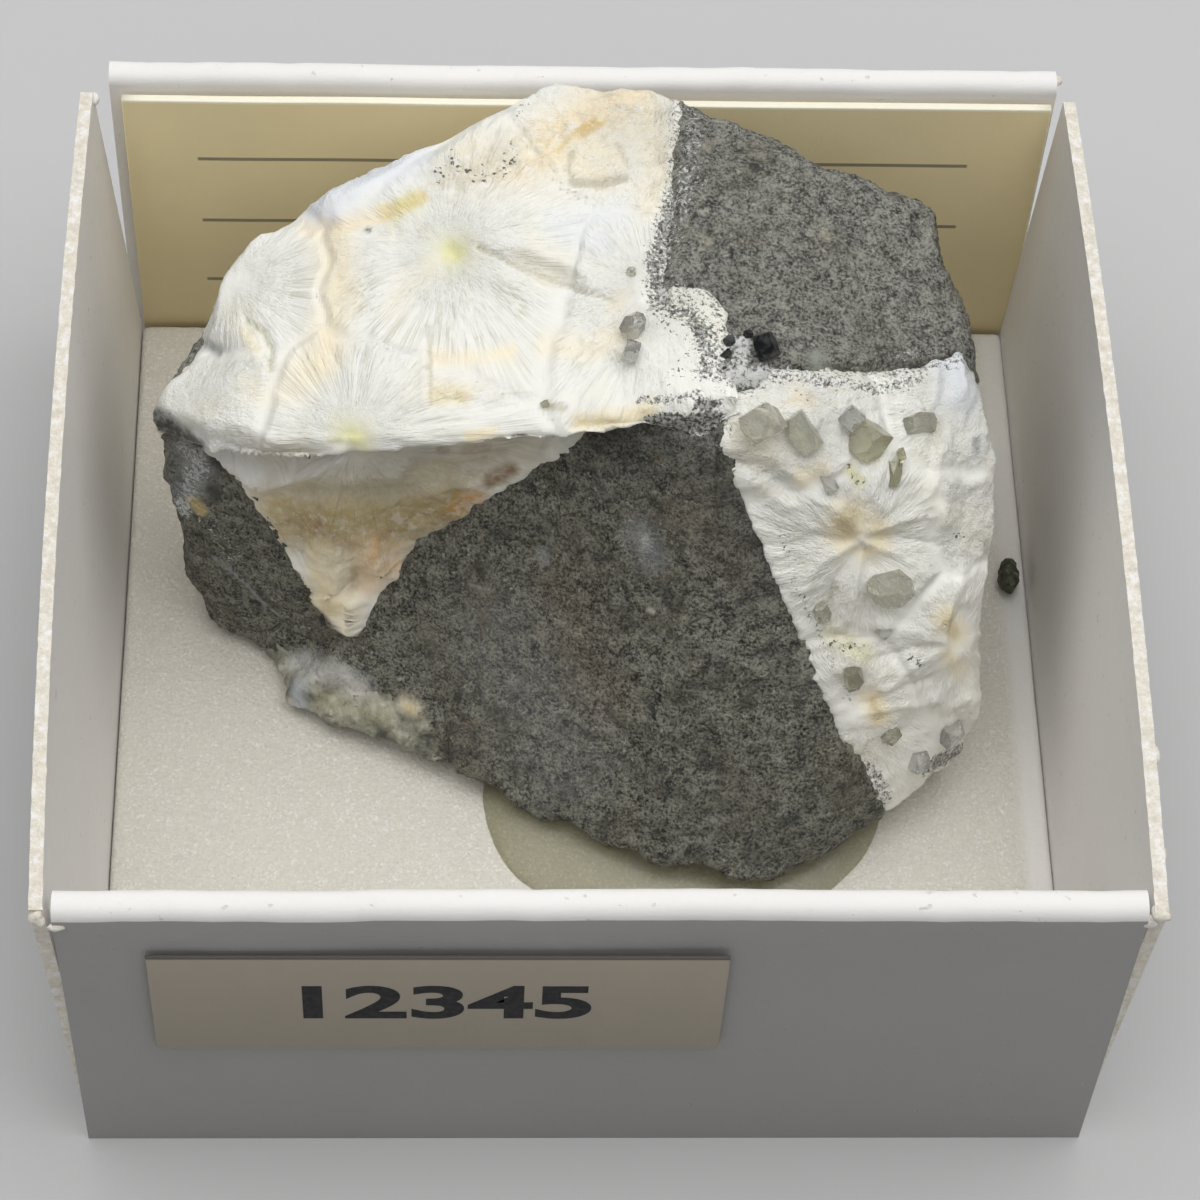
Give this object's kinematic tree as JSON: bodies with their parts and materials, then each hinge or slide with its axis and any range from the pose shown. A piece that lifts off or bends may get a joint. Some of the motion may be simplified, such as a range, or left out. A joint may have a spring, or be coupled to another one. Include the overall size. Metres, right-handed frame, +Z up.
{
  "type": "thomsonite mineral specimen",
  "caption": "Piece of dark basalt with white radiating thomsonite veins and small glassy crystals, fixed with gel in an open square card tray with a foam pad and a label.",
  "frame": {"origin": "middle of the tray's underside, on the surface it stands on", "axes": "+Z up, -Y out of the front wall that carries the sticker, +X to the right seen from the front"},
  "size_m": [0.0412, 0.0402, 0.0221],
  "materials": {
    "white_card": "smooth uncoated white card with raw cut edges",
    "foam": "fine closed-cell foam sheet",
    "cream_card": "matt cream card",
    "sticker_paper": "matt paper label",
    "gel": "translucent mounting gel",
    "basalt": "rough broken basalt",
    "thomsonite": "silky white needles with cream and orange stains",
    "zeolite": "thin grey and olive crust"
  },
  "bodies": {
    "root": {"card_tray": "white_card", "foam_pad": "foam", "label_card": "cream_card", "number_sticker": "sticker_paper", "mounting_gel": "gel", "stone_crumb": "basalt", "basalt_matrix": "basalt", "left_vein": "thomsonite", "right_vein": "thomsonite", "zeolite_crust": "zeolite"}
  },
  "joints": []
}
